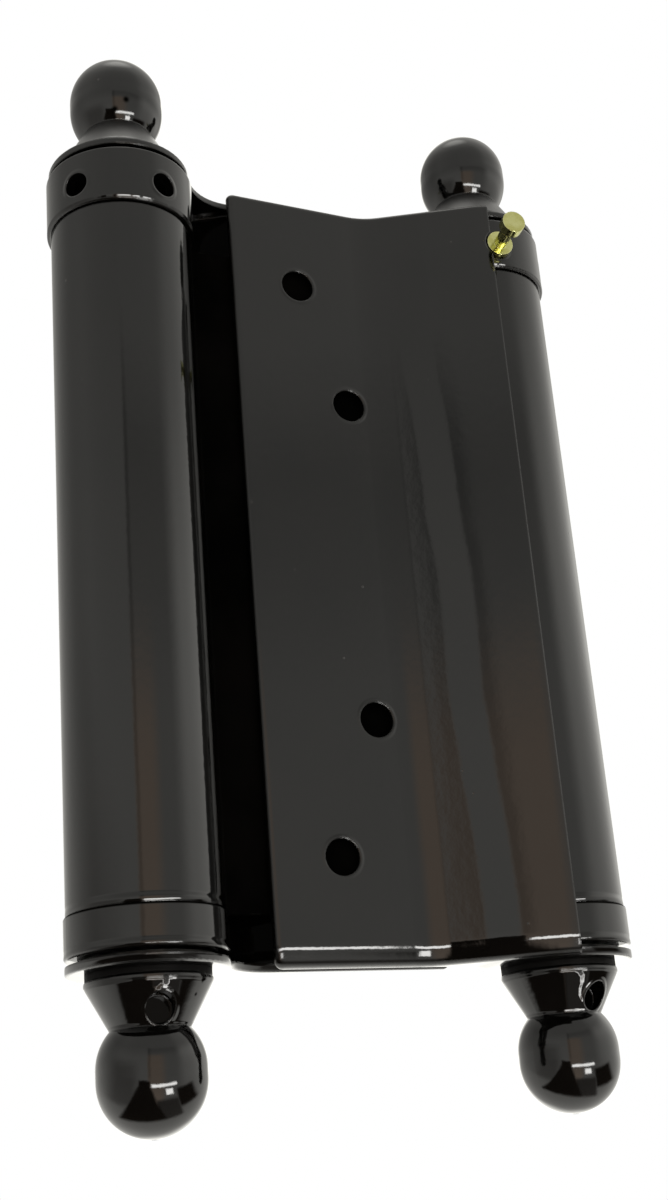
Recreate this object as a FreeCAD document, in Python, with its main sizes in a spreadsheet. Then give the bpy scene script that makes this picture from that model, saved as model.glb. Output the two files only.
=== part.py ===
import FreeCAD, Part
import math
import os
import Sketcher

# Double action spring hinge for a swing door, in millimetres
# X runs from the left barrel to the right one, Y away from the door leaf's face, Z up along the barrels
# The origin is midway between the two barrels, and the hinge is the same after half a turn about Z

doc = FreeCAD.newDocument("DoubleActionHinge")

# Driving sizes
sheet = doc.addObject("Spreadsheet::Sheet", "Sizes")
driving_sizes = [
    ("axis_spacing", "64.9", "between the two barrel axes"),
    ("barrel_diameter", "22", "outside of a rolled barrel"),
    ("web_gauge", "1.4", "sheet of the web and its barrels"),
    ("seam_gap", "0.4", "slit where a rolled barrel meets the web"),
    ("web_bend", "2.2", "bend where the web turns into a barrel"),
    ("leaf_gauge", "1.2", "sheet of a leaf"),
    ("leaf_gap", "0.3", "air between the web and a closed leaf"),
    ("leaf_height", "126.6", "over the two ears"),
    ("leaf_reach", "47", "from the barrel axis to the far edge of the leaf"),
    ("leaf_corner", "1.2", "rounding of the far corners"),
    ("ramp_angle", "30", "slope of the sheet up to the barrel, in degrees"),
    ("valley_radius", "10", "bend between the flat and the slope, on the door's side"),
    ("wrap_gap", "0.3", "air between a collar and the sheet bent round it"),
    ("wrap_sweep", "74", "from the web's direction round to the sheet's free edge, in degrees"),
    ("ear_radius", "11.2", "round end of an ear"),
    ("ear_hollow", "9", "hollow curve between the ear and the leaf"),
    ("sheet_edge", "0.9", "rounding of a leaf's outer edges and of the folds to its ears"),
    ("ear_edge", "0.35", "rounding of an ear's rim"),
    ("screw_hole", "5.4", "diameter of a screw hole"),
    ("screw_sink", "0.8", "depth of the countersink"),
    ("screw_edge", "0.2", "rounding of a screw hole on the door's side"),
    ("outer_screw_reach", "35.5", "outer screw holes from the barrel axis"),
    ("outer_screw_spacing", "95", "between the outer screw holes"),
    ("inner_screw_reach", "28", "inner screw holes from the barrel axis"),
    ("inner_screw_spacing", "53", "between the inner screw holes"),
    ("spindle_diameter", "9", "shaft inside a barrel"),
    ("stud_diameter", "6", "threaded end of the shaft"),
    ("stud_engagement", "7", "thread inside a finial"),
    ("thread_slack", "0.08", "radial air on the threaded ends"),
    ("running_fit", "0.05", "radial air where a collar turns on the shaft"),
    ("seat_fit", "0.05", "radial air where the lower collar sits in the barrel"),
    ("spigot_gap", "0.3", "radial air where the upper collar turns in the barrel"),
    ("washer_diameter", "19", "thrust washer"),
    ("washer_thickness", "0.6", "thrust washer"),
    ("washer_slack", "0.2", "radial air inside a washer"),
    ("end_play", "0.2", "axial air between a washer and its collar"),
    ("collar_play", "0.2", "axial air between the upper collar and the barrel"),
    ("upper_collar_proud", "0.6", "how far the tension collar stands out from the barrel"),
    ("lower_collar_proud", "0.3", "how far the anchor collar stands out from the barrel"),
    ("collar_edge", "0.4", "rounding of a collar's rims"),
    ("upper_collar_height", "9.5", "visible height of the tension collar"),
    ("lower_collar_height", "5.8", "visible height of the anchor collar"),
    ("spigot_length", "5", "part of a collar inside the barrel"),
    ("bar_hole", "4", "holes for the tightening bar"),
    ("bar_hole_count", "5", "holes round a tension collar"),
    ("bar_hole_height", "3.9", "hole centre above the collar's lower rim"),
    ("bar_hole_floor", "7", "bottom of a collar hole from the axis"),
    ("wire", "2.4", "spring wire, square"),
    ("coil_radius", "6.9", "spring axis to the middle of the wire"),
    ("coil_turns", "9", "turns drawn"),
    ("coil_gap", "0.5", "axial air at each end of the coil"),
    ("tang", "2", "square leg at each end of the spring"),
    ("tang_depth", "3.6", "leg inside a collar"),
    ("tang_slack", "0.3", "air round a leg"),
    ("right_pin_lead", "7", "right tension pin ahead of its leaf's free edge, in degrees"),
    ("left_pin_lead", "-1.5", "left tension pin ahead of its leaf's free edge, in degrees"),
    ("pin_fit", "0.15", "radial air between the pin and its hole"),
    ("pin_shank_length", "3.6", "pin inside the collar"),
    ("pin_seat_gap", "0.1", "air between the pin's flange and the collar"),
    ("pin_flange", "4.5", "flange of the tension pin"),
    ("pin_flange_thickness", "1.2", "flange of the tension pin"),
    ("pin_notch_gap", "0.3", "air round the flange in the leaf's notch"),
    ("pin_neck", "2.2", "neck of the tension pin"),
    ("pin_neck_length", "4.6", "neck of the tension pin"),
    ("pin_head", "3.9", "head of the tension pin"),
    ("pin_head_length", "1.8", "head of the tension pin"),
    ("seat_ring_diameter", "17.2", "dull ring between an ear and its finial"),
    ("seat_ring_thickness", "0.9", "dull ring between an ear and its finial"),
    ("finial_base_diameter", "17.6", "widest part of the cone"),
    ("finial_rim", "0.7", "straight rim under the cone"),
    ("finial_neck_diameter", "11.1", "between the cone and the ball"),
    ("ball_diameter", "15", "ball of a finial"),
    ("ball_stretch", "1.5", "straight part round the middle of the ball"),
    ("ball_height", "13.06", "centre of the ball's end above the seat ring"),
    ("centre_mark", "1.2", "lathe centre mark on the ball, across"),
    ("centre_mark_depth", "0.5", "depth of that mark"),
    ("finial_edge", "0.35", "rounding of the cone's rim"),
    ("finial_hole_height", "4.4", "tightening hole above the seat ring"),
    ("finial_hole_floor", "4.4", "bottom of the tightening hole from the axis"),
    ("left_top_turn", "180", "where this finial stopped when tightened, its hole from the front, in degrees"),
    ("right_top_turn", "180", "the same for this finial"),
    ("left_bottom_turn", "-6", "the same for this finial"),
    ("right_bottom_turn", "15", "the same for this finial"),
]
for row, (alias, number, meaning) in enumerate(driving_sizes, start=1):
    sheet.set(f"A{row}", alias)
    sheet.set(f"B{row}", number)
    sheet.set(f"C{row}", meaning)
    sheet.setAlias(f"B{row}", alias)
doc.recompute()

# Heights and radii that several pieces share, as expressions on the sheet
ear_inside = "(Sizes.leaf_height / 2 - Sizes.leaf_gauge)"
washer_inside = f"({ear_inside} - Sizes.washer_thickness)"
collar_end = f"({washer_inside} - Sizes.end_play)"
barrel_top = f"({collar_end} - Sizes.upper_collar_height - Sizes.collar_play)"
barrel_bottom = f"(Sizes.lower_collar_height - {collar_end})"
barrel_radius = "(Sizes.barrel_diameter / 2)"
barrel_inside = f"({barrel_radius} - Sizes.web_gauge)"
collar_radius = f"({barrel_radius} + Sizes.upper_collar_proud)"
lower_collar_radius = f"({barrel_radius} + Sizes.lower_collar_proud)"
wrap_outside = f"({collar_radius} + Sizes.wrap_gap + Sizes.leaf_gauge)"
leaf_inner_face = "(Sizes.web_gauge / 2 + Sizes.leaf_gap)"
leaf_outer_face = f"({leaf_inner_face} + Sizes.leaf_gauge)"
slope_cosine = "cos(Sizes.ramp_angle * 1 deg)"
slope_sine = "sin(Sizes.ramp_angle * 1 deg)"
valley_rise = f"({wrap_outside} - {slope_cosine} * {leaf_outer_face} + (1 - {slope_cosine}) * Sizes.valley_radius)"
ear_root = f"({valley_rise} / {slope_sine} + Sizes.leaf_gauge)"
spindle_radius = "(Sizes.spindle_diameter / 2)"
bar_hole_level = f"({collar_end} - Sizes.upper_collar_height + Sizes.bar_hole_height)"
pin_turn = {side: f"(Sizes.wrap_sweep + Sizes.{side}_pin_lead - 90)" for side in ("left", "right")}
finial_seat = "(Sizes.leaf_height / 2 + Sizes.seat_ring_thickness)"
upper_spigot_end = f"({collar_end} - Sizes.upper_collar_height - Sizes.spigot_length)"
lower_spigot_end = f"({barrel_bottom} + Sizes.spigot_length)"


def value(expression):
    return float(sheet.evalExpression(expression))


def new_body(name):
    body = doc.addObject("PartDesign::Body", name)
    body.Label = name
    return body


def origin_item(body, role):
    return next(item for item in body.Origin.OriginFeatures if item.Role == role)


def new_sketch(body, role, name, lift=None):
    sketch = body.newObject("Sketcher::SketchObject", name)
    sketch.AttachmentSupport = [(origin_item(body, role), "")]
    sketch.MapMode = "FlatFace"
    if lift:
        sketch.setExpression("AttachmentOffset.Base.z", lift)
    return sketch


def bind(sketch, expression, kind, *where):
    """A dimension of the sketch that follows an expression on the sheet."""
    index = sketch.addConstraint(Sketcher.Constraint(kind, *where, value(expression)))
    sketch.setExpression(f"Constraints[{index}]", expression)


def bind_angle(sketch, expression, *where):
    """An angle of the sketch that follows an expression in degrees."""
    start = math.radians(value(expression))
    index = sketch.addConstraint(Sketcher.Constraint("Angle", *where, start))
    sketch.setExpression(f"Constraints[{index}]", f"({expression}) * 1 deg")


def place_point(sketch, geometry, end, across, up):
    """Hold one end of a line at a place given by two expressions."""
    for text, kind, axis in ((across, "DistanceX", -2), (up, "DistanceY", -1)):
        if text == "0":
            sketch.addConstraint(Sketcher.Constraint("PointOnObject", geometry, end, axis))
        else:
            bind(sketch, text, kind, geometry, end)


def straight_outline(sketch, corners):
    """Closed outline of straight runs, each corner bound to two expressions."""
    points = [FreeCAD.Vector(value(across), value(up), 0) for across, up in corners]
    count = len(points)
    first = sketch.GeometryCount
    for i in range(count):
        sketch.addGeometry(Part.LineSegment(points[i], points[(i + 1) % count]))
    for i in range(count):
        following = first + (i + 1) % count
        sketch.addConstraint(Sketcher.Constraint("Coincident", first + i, 2, following, 1))
    for i, (across, up) in enumerate(corners):
        place_point(sketch, first + i, 1, across, up)


def round_outline(sketch, across, up, radius):
    """Circle with its centre and radius bound to expressions."""
    centre = FreeCAD.Vector(value(across), value(up), 0)
    index = sketch.addGeometry(Part.Circle(centre, FreeCAD.Vector(0, 0, 1), value(radius)))
    place_point(sketch, index, 3, across, up)
    bind(sketch, radius, "Radius", index)


def pad(body, sketch, name, length, both_ways=False):
    feature = body.newObject("PartDesign::Pad", name)
    feature.Profile = sketch
    feature.Midplane = both_ways
    feature.setExpression("Length", length)
    doc.recompute()
    return feature


def cut_through(body, sketch, name):
    """Cut the sketch through the whole body, both ways from its plane."""
    feature = body.newObject("PartDesign::Pocket", name)
    feature.Profile = sketch
    feature.Type = "ThroughAll"
    feature.Midplane = True
    doc.recompute()
    return feature


def cut_outwards(body, sketch, name):
    """Cut everything on the outer side of the sketch's plane."""
    feature = body.newObject("PartDesign::Pocket", name)
    feature.Profile = sketch
    feature.Type = "ThroughAll"
    feature.Reversed = True
    doc.recompute()
    return feature


def cut_deep(body, sketch, name, depth, upwards):
    feature = body.newObject("PartDesign::Pocket", name)
    feature.Profile = sketch
    feature.Reversed = upwards
    feature.setExpression("Length", depth)
    doc.recompute()
    return feature


def turned(body, sketch, name):
    """Full turn of the sketch about the upright axis."""
    feature = body.newObject("PartDesign::Revolution", name)
    feature.Profile = sketch
    feature.ReferenceAxis = (sketch, ["V_Axis"])
    feature.Angle = 360
    doc.recompute()
    return feature


def edges_where(feature, test):
    """Names of the edges whose middle point passes a test."""
    names = []
    for number, edge in enumerate(feature.Shape.Edges, start=1):
        if edge.Degenerated:
            continue
        middle = edge.valueAt((edge.FirstParameter + edge.LastParameter) / 2)
        if test(edge, middle):
            names.append(f"Edge{number}")
    return names


def dress(body, kind, name, base, edges, size, expression):
    """Fillet or chamfer on named edges, its size bound to the sheet."""
    feature = body.newObject(f"PartDesign::{kind}", name)
    feature.Base = (base, edges)
    feature.setExpression(size, expression)
    doc.recompute()
    return feature


def near(first, second):
    return abs(first - second) < 0.001


def set_on_axis(body, side, turn_with_side=True):
    """Stand a piece on the right barrel axis, or on the left one after half a turn."""
    sign = "" if side == "right" else "-"
    body.setExpression("Placement.Base.x", f"{sign}Sizes.axis_spacing / 2")
    if side == "left" and turn_with_side:
        body.Placement.Rotation = FreeCAD.Rotation(FreeCAD.Vector(0, 0, 1), 180)


# Centre web: one sheet, flat between the axes and rolled into a barrel at each end
def make_centre_web():
    body = new_body("centre_web")
    height = f"({barrel_top} - {barrel_bottom})"
    inner_end = f"(Sizes.axis_spacing / 2 - {barrel_inside} - Sizes.web_gauge / 2)"
    half_gauge = "Sizes.web_gauge / 2"
    flat = new_sketch(body, "XY_Plane", "web_flat", barrel_bottom)
    straight_outline(flat, [
        (f"-{inner_end}", f"-{half_gauge}"),
        (inner_end, f"-{half_gauge}"),
        (inner_end, half_gauge),
        (f"-{inner_end}", half_gauge),
    ])
    pad(body, flat, "web_sheet", height)
    for side, sign in (("right", ""), ("left", "-")):
        ring = new_sketch(body, "XY_Plane", f"{side}_barrel_ring", barrel_bottom)
        round_outline(ring, f"{sign}Sizes.axis_spacing / 2", "0", barrel_radius)
        round_outline(ring, f"{sign}Sizes.axis_spacing / 2", "0", barrel_inside)
        pad(body, ring, f"{side}_barrel", height)

    # The slit beside the web, on the rear of the right barrel and the front of the left one
    slits = new_sketch(body, "XY_Plane", "seam_slits")
    slit_start = f"(Sizes.axis_spacing / 2 - {barrel_radius} - Sizes.web_bend)"
    slit_end = f"(Sizes.axis_spacing / 2 - {barrel_inside} + Sizes.web_gauge)"
    slit_top = "(Sizes.web_gauge / 2 + Sizes.seam_gap)"
    for sign in ("", "-"):
        straight_outline(slits, [
            (f"{sign}{slit_start}", f"{sign}{half_gauge}"),
            (f"{sign}{slit_end}", f"{sign}{half_gauge}"),
            (f"{sign}{slit_end}", f"{sign}{slit_top}"),
            (f"{sign}{slit_start}", f"{sign}{slit_top}"),
        ])
    seams = cut_through(body, slits, "seams")

    # The bend of the sheet on the other side of the web
    half = value(half_gauge)
    ring_radius = value(barrel_radius)
    axis_x = value("Sizes.axis_spacing / 2")
    foot = axis_x - math.sqrt(ring_radius ** 2 - half ** 2)

    def is_bend(edge, middle):
        right = near(middle.x, foot) and near(middle.y, -half)
        left = near(middle.x, -foot) and near(middle.y, half)
        return (right or left) and edge.Length > half * 4

    bends = edges_where(seams, is_bend)
    dress(body, "Fillet", "web_bends", seams, bends, "Radius", "Sizes.web_bend")
    return body


# Door side of a leaf's sheet: flat, valley bend, slope and the arc round the barrel
def sheet_face(sketch, start_reach, depth):
    """Adds that run of lines and arcs, depth into the sheet from its outer face, and gives their numbers."""
    slope = math.radians(value("Sizes.ramp_angle"))
    level = f"({depth} - {leaf_outer_face})"
    bend = f"(Sizes.valley_radius + {depth})"
    wrap = f"({wrap_outside} - {depth})"
    face_y = value(level)
    bend_r = value(bend)
    wrap_r = value(wrap)
    centre_x = (bend_r * (math.cos(slope) - 1) - math.cos(slope) * face_y - wrap_r) / math.sin(slope)
    centre = FreeCAD.Vector(centre_x, face_y - bend_r, 0)
    flat_start = FreeCAD.Vector(-value(start_reach), face_y, 0)
    flat_end = FreeCAD.Vector(centre_x, face_y, 0)
    slope_start = centre + FreeCAD.Vector(math.sin(slope), math.cos(slope), 0) * bend_r
    touch_angle = -math.pi / 2 - slope
    slope_end = FreeCAD.Vector(math.cos(touch_angle), math.sin(touch_angle), 0) * wrap_r
    free_angle = math.radians(value("Sizes.wrap_sweep")) - math.pi
    up = FreeCAD.Vector(0, 0, 1)
    valley_circle = Part.Circle(centre, up, bend_r)
    wrap_circle = Part.Circle(FreeCAD.Vector(0, 0, 0), up, wrap_r)
    flat = sketch.addGeometry(Part.LineSegment(flat_start, flat_end))
    valley = sketch.addGeometry(Part.ArcOfCircle(valley_circle, math.pi / 2 - slope, math.pi / 2))
    ramp = sketch.addGeometry(Part.LineSegment(slope_start, slope_end))
    shield = sketch.addGeometry(Part.ArcOfCircle(wrap_circle, touch_angle, free_angle))
    sketch.addConstraint(Sketcher.Constraint("Horizontal", flat))
    sketch.addConstraint(Sketcher.Constraint("Tangent", flat, 2, valley, 2))
    sketch.addConstraint(Sketcher.Constraint("Tangent", valley, 1, ramp, 1))
    sketch.addConstraint(Sketcher.Constraint("Tangent", ramp, 2, shield, 1))
    sketch.addConstraint(Sketcher.Constraint("Coincident", shield, 3, -1, 1))
    bind(sketch, level, "DistanceY", flat, 1)
    bind(sketch, f"-{start_reach}", "DistanceX", flat, 1)
    bind(sketch, bend, "Radius", valley)
    bind(sketch, wrap, "Radius", shield)
    bind_angle(sketch, "-Sizes.ramp_angle", ramp)
    return flat, shield


def free_edge(sketch, outer_arc, inner_arc):
    """Radial line across the sheet at its free edge, from one arc's far end to another's."""
    start = sketch.getPoint(outer_arc, 2)
    end = sketch.getPoint(inner_arc, 2)
    line = sketch.addGeometry(Part.LineSegment(end, start))
    sketch.addConstraint(Sketcher.Constraint("Coincident", line, 2, outer_arc, 2))
    sketch.addConstraint(Sketcher.Constraint("Coincident", line, 1, inner_arc, 2))
    sketch.addConstraint(Sketcher.Constraint("PointOnObject", -1, 1, line))
    bind_angle(sketch, "Sizes.wrap_sweep - 180", line)
    return line


def ear_outline(sketch):
    """Round end about the barrel axis, hollowed on its way to the leaf, inside the sheet's outer face."""
    ear = value("Sizes.ear_radius")
    hollow = value("Sizes.ear_hollow")
    face_y = -value(leaf_inner_face)
    free_angle = math.radians(value("Sizes.wrap_sweep")) - math.pi
    centre_y = face_y + hollow
    centre_x = -math.sqrt((ear + hollow) ** 2 - centre_y ** 2)
    touch = math.atan2(centre_y, centre_x)
    up = FreeCAD.Vector(0, 0, 1)
    ear_circle = Part.Circle(FreeCAD.Vector(0, 0, 0), up, ear)
    hollow_circle = Part.Circle(FreeCAD.Vector(centre_x, centre_y, 0), up, hollow)
    flat, shield = sheet_face(sketch, ear_root, "0")
    round_end = sketch.addGeometry(Part.ArcOfCircle(ear_circle, free_angle, touch))
    curve = sketch.addGeometry(Part.ArcOfCircle(hollow_circle, -math.pi / 2, touch - math.pi))
    edge_start = FreeCAD.Vector(centre_x, face_y, 0)
    edge_end = FreeCAD.Vector(-value(ear_root), face_y, 0)
    edge = sketch.addGeometry(Part.LineSegment(edge_start, edge_end))
    close = sketch.addGeometry(Part.LineSegment(edge_end, sketch.getPoint(flat, 1)))
    step = sketch.addGeometry(Part.LineSegment(sketch.getPoint(round_end, 1), sketch.getPoint(shield, 2)))
    sketch.addConstraint(Sketcher.Constraint("Coincident", step, 2, shield, 2))
    sketch.addConstraint(Sketcher.Constraint("Coincident", step, 1, round_end, 1))
    sketch.addConstraint(Sketcher.Constraint("PointOnObject", -1, 1, step))
    bind_angle(sketch, "Sizes.wrap_sweep - 180", step)
    sketch.addConstraint(Sketcher.Constraint("Coincident", round_end, 3, -1, 1))
    sketch.addConstraint(Sketcher.Constraint("Tangent", round_end, 2, curve, 2))
    sketch.addConstraint(Sketcher.Constraint("Tangent", curve, 1, edge, 1))
    sketch.addConstraint(Sketcher.Constraint("Coincident", edge, 2, close, 1))
    sketch.addConstraint(Sketcher.Constraint("Coincident", close, 2, flat, 1))
    sketch.addConstraint(Sketcher.Constraint("Horizontal", edge))
    sketch.addConstraint(Sketcher.Constraint("Vertical", close))
    bind(sketch, "Sizes.ear_radius", "Radius", round_end)
    bind(sketch, "Sizes.ear_hollow", "Radius", curve)
    bind(sketch, f"-{leaf_inner_face}", "DistanceY", edge, 2)


# Leaf: one folded sheet, flat with screw holes, bent round its barrel, with an ear folded in at each end
def make_leaf(name, side):
    body = new_body(name)
    section = new_sketch(body, "XY_Plane", f"{name}_section")
    outer_flat, outer_arc = sheet_face(section, "Sizes.leaf_reach", "0")
    inner_flat, inner_arc = sheet_face(section, "Sizes.leaf_reach", "Sizes.leaf_gauge")
    far_start = section.getPoint(inner_flat, 1)
    far_end = section.getPoint(outer_flat, 1)
    far_edge = section.addGeometry(Part.LineSegment(far_start, far_end))
    section.addConstraint(Sketcher.Constraint("Coincident", far_edge, 1, inner_flat, 1))
    section.addConstraint(Sketcher.Constraint("Coincident", far_edge, 2, outer_flat, 1))
    free_edge(section, outer_arc, inner_arc)
    pad(body, section, f"{name}_sheet", "Sizes.leaf_height", both_ways=True)
    for end, level in (("top", ear_inside), ("bottom", "-Sizes.leaf_height / 2")):
        outline = new_sketch(body, "XY_Plane", f"{name}_{end}_ear_outline", level)
        ear_outline(outline)
        pad(body, outline, f"{name}_{end}_ear", "Sizes.leaf_gauge")

    # Holes in the ears for the threaded ends of the shaft
    studs = new_sketch(body, "XY_Plane", f"{name}_ear_holes")
    round_outline(studs, "0", "0", "Sizes.stud_diameter / 2 + Sizes.thread_slack")
    cut_through(body, studs, f"{name}_ear_bores")

    # Four screw holes in a zigzag, sunk on the side away from the door
    screws = new_sketch(body, "XZ_Plane", f"{name}_screw_places")
    for row in ("outer", "inner"):
        for sign in ("", "-"):
            level = f"{sign}Sizes.{row}_screw_spacing / 2"
            round_outline(screws, f"-Sizes.{row}_screw_reach", level, "Sizes.screw_hole / 2")
    holes = cut_through(body, screws, f"{name}_screw_holes")
    inner_y = -value(leaf_inner_face)
    hole_radius = value("Sizes.screw_hole / 2")

    def is_hole_rim(edge, middle):
        round_edge = hasattr(edge.Curve, "Radius") and near(edge.Curve.Radius, hole_radius)
        return round_edge and near(edge.CenterOfMass.y, inner_y)

    rims = edges_where(holes, is_hole_rim)
    cones = dress(body, "Chamfer", f"{name}_countersinks", holes, rims, "Size", "Sizes.screw_sink")
    outer_y = -value(leaf_outer_face)

    def is_door_rim(edge, middle):
        round_edge = hasattr(edge.Curve, "Radius") and near(edge.Curve.Radius, hole_radius)
        return round_edge and near(edge.CenterOfMass.y, outer_y)

    door_rims = edges_where(cones, is_door_rim)
    sunk = dress(body, "Fillet", f"{name}_hole_edges", cones, door_rims, "Radius", "Sizes.screw_edge")

    # Rounded corners at the far edge, then the soft outer edges and folds, then the rims of the ears
    far_x = -value("Sizes.leaf_reach")
    top_z = value("Sizes.leaf_height / 2")
    gauge = value("Sizes.leaf_gauge")

    def is_far_corner(edge, middle):
        return near(middle.x, far_x) and near(abs(middle.z), top_z) and near(edge.Length, gauge)

    corners = edges_where(sunk, is_far_corner)
    cornered = dress(body, "Fillet", f"{name}_corners", sunk, corners, "Radius", "Sizes.leaf_corner")
    wrap_r = value(wrap_outside)
    slope = math.radians(value("Sizes.ramp_angle"))
    valley_r = value("Sizes.valley_radius")
    valley_x = -value(f"{valley_rise} / {slope_sine}")

    def is_outer_edge(edge, middle):
        on_flat = near(middle.y, outer_y)
        on_valley = near(math.hypot(middle.x - valley_x, middle.y - outer_y + valley_r), valley_r)
        on_slope = near(-middle.x * math.sin(slope) - middle.y * math.cos(slope), wrap_r)
        on_arc = near(math.hypot(middle.x, middle.y), wrap_r) and middle.y < outer_y
        return near(abs(middle.z), top_z) and (on_flat or on_valley or on_slope or on_arc)

    outer_edges = edges_where(cornered, is_outer_edge)
    softened = dress(body, "Fillet", f"{name}_outer_edges", cornered, outer_edges, "Radius", "Sizes.sheet_edge")
    ear_radii = (value("Sizes.ear_radius"), value("Sizes.ear_hollow"))

    def is_ear_rim(edge, middle):
        round_edge = hasattr(edge.Curve, "Radius") and any(near(edge.Curve.Radius, r) for r in ear_radii)
        return round_edge and near(abs(middle.z), top_z)

    ear_rims = edges_where(softened, is_ear_rim)
    dress(body, "Fillet", f"{name}_ear_rims", softened, ear_rims, "Radius", "Sizes.ear_edge")

    # Notch in the free edge where the flange of the tension pin sits
    notch = new_sketch(body, "XZ_Plane", f"{name}_notch_outline")
    turn = FreeCAD.Rotation(FreeCAD.Vector(0, 1, 0), value(pin_turn[side]))
    inside = FreeCAD.Vector(0, 0, value("Sizes.bar_hole_floor"))
    notch.AttachmentOffset = FreeCAD.Placement(turn.multVec(inside), turn)
    round_outline(notch, "0", bar_hole_level, "Sizes.pin_flange / 2 + Sizes.pin_notch_gap")
    cut_outwards(body, notch, f"{name}_notch")
    set_on_axis(body, side)
    return body


# Shaft between the ears, with a threaded end through each
def make_spindle(side):
    body = new_body(f"{side}_spindle")
    profile = new_sketch(body, "XZ_Plane", f"{side}_spindle_profile")
    stud_radius = "Sizes.stud_diameter / 2"
    tip = f"({finial_seat} + Sizes.stud_engagement)"
    straight_outline(profile, [
        ("0", f"-{tip}"),
        (stud_radius, f"-{tip}"),
        (stud_radius, f"-{ear_inside}"),
        (spindle_radius, f"-{ear_inside}"),
        (spindle_radius, ear_inside),
        (stud_radius, ear_inside),
        (stud_radius, tip),
        ("0", tip),
    ])
    turned(body, profile, f"{side}_spindle_turning")
    set_on_axis(body, side)
    return body


# Thrust washer against the inside of an ear
def make_washer(side, end):
    body = new_body(f"{side}_{end}_washer")
    level = washer_inside if end == "top" else f"-{ear_inside}"
    ring = new_sketch(body, "XY_Plane", f"{side}_{end}_washer_ring", level)
    round_outline(ring, "0", "0", "Sizes.washer_diameter / 2")
    round_outline(ring, "0", "0", f"{spindle_radius} + Sizes.washer_slack")
    pad(body, ring, f"{side}_{end}_washer_disc", "Sizes.washer_thickness")
    set_on_axis(body, side)
    return body


def spring_socket(body, name, level, upwards, across, up):
    """Blind hole that takes one leg of the spring, cut in from the end of a collar's spigot."""
    place = new_sketch(body, "XY_Plane", f"{name}_place", level)
    round_outline(place, across, up, "Sizes.tang * sqrt(2) / 2 + Sizes.tang_slack")
    depth = "Sizes.tang_depth + Sizes.tang_slack"
    return cut_deep(body, place, name, depth, upwards)


def rim_edges(feature, radius):
    """Round edges at the outside of a turned collar."""
    return edges_where(feature, lambda edge, middle: hasattr(edge.Curve, "Radius")
                       and near(edge.Curve.Radius, radius) and near(math.hypot(middle.x, middle.y), radius))


# Tension collar: turns on the shaft above the barrel, winds the spring and is drilled for the bar and the pin
def make_tension_collar(side):
    name = f"{side}_tension_collar"
    body = new_body(name)
    rim = f"({collar_end} - Sizes.upper_collar_height)"
    bore = f"({spindle_radius} + Sizes.running_fit)"
    spigot = f"({barrel_inside} - Sizes.spigot_gap)"
    profile = new_sketch(body, "XZ_Plane", f"{name}_profile")
    straight_outline(profile, [
        (bore, upper_spigot_end),
        (spigot, upper_spigot_end),
        (spigot, rim),
        (collar_radius, rim),
        (collar_radius, collar_end),
        (bore, collar_end),
    ])
    blank = turned(body, profile, f"{name}_turning")
    rims = rim_edges(blank, value(collar_radius))
    dress(body, "Fillet", f"{name}_rims", blank, rims, "Radius", "Sizes.collar_edge")
    # The collar is turned as a whole to bring its pin to the leaf, so the socket is set back as much
    socket_x = f"Sizes.coil_radius * cos({pin_turn[side]} * 1 deg)"
    socket_y = f"-Sizes.coil_radius * sin({pin_turn[side]} * 1 deg)"
    spring_socket(body, f"{name}_socket", upper_spigot_end, True, socket_x, socket_y)
    drill = new_sketch(body, "XZ_Plane", f"{name}_drill", "Sizes.bar_hole_floor")
    round_outline(drill, "0", bar_hole_level, "Sizes.bar_hole / 2")
    first_hole = cut_outwards(body, drill, f"{name}_first_hole")
    pattern = body.newObject("PartDesign::PolarPattern", f"{name}_holes")
    pattern.Originals = [first_hole]
    pattern.Axis = (origin_item(body, "Z_Axis"), [""])
    pattern.Angle = 360
    pattern.setExpression("Occurrences", "Sizes.bar_hole_count")
    body.Tip = pattern
    doc.recompute()
    set_on_axis(body, side, turn_with_side=False)
    half_turn = 180 if side == "left" else 0
    body.Placement.Rotation = FreeCAD.Rotation(FreeCAD.Vector(0, 0, 1), value(pin_turn[side]) + half_turn)
    return body


# Anchor collar: fixed in the lower end of the barrel, holds the other end of the spring
def make_anchor_collar(side):
    name = f"{side}_anchor_collar"
    body = new_body(name)
    bore = f"({spindle_radius} + Sizes.running_fit)"
    spigot = f"({barrel_inside} - Sizes.seat_fit)"
    profile = new_sketch(body, "XZ_Plane", f"{name}_profile")
    straight_outline(profile, [
        (bore, f"-{collar_end}"),
        (lower_collar_radius, f"-{collar_end}"),
        (lower_collar_radius, barrel_bottom),
        (spigot, barrel_bottom),
        (spigot, lower_spigot_end),
        (bore, lower_spigot_end),
    ])
    blank = turned(body, profile, f"{name}_turning")
    rims = rim_edges(blank, value(lower_collar_radius))
    dress(body, "Fillet", f"{name}_rims", blank, rims, "Radius", "Sizes.collar_edge")
    spring_socket(body, f"{name}_socket", lower_spigot_end, False, "Sizes.coil_radius", "0")
    set_on_axis(body, side)
    return body


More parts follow.
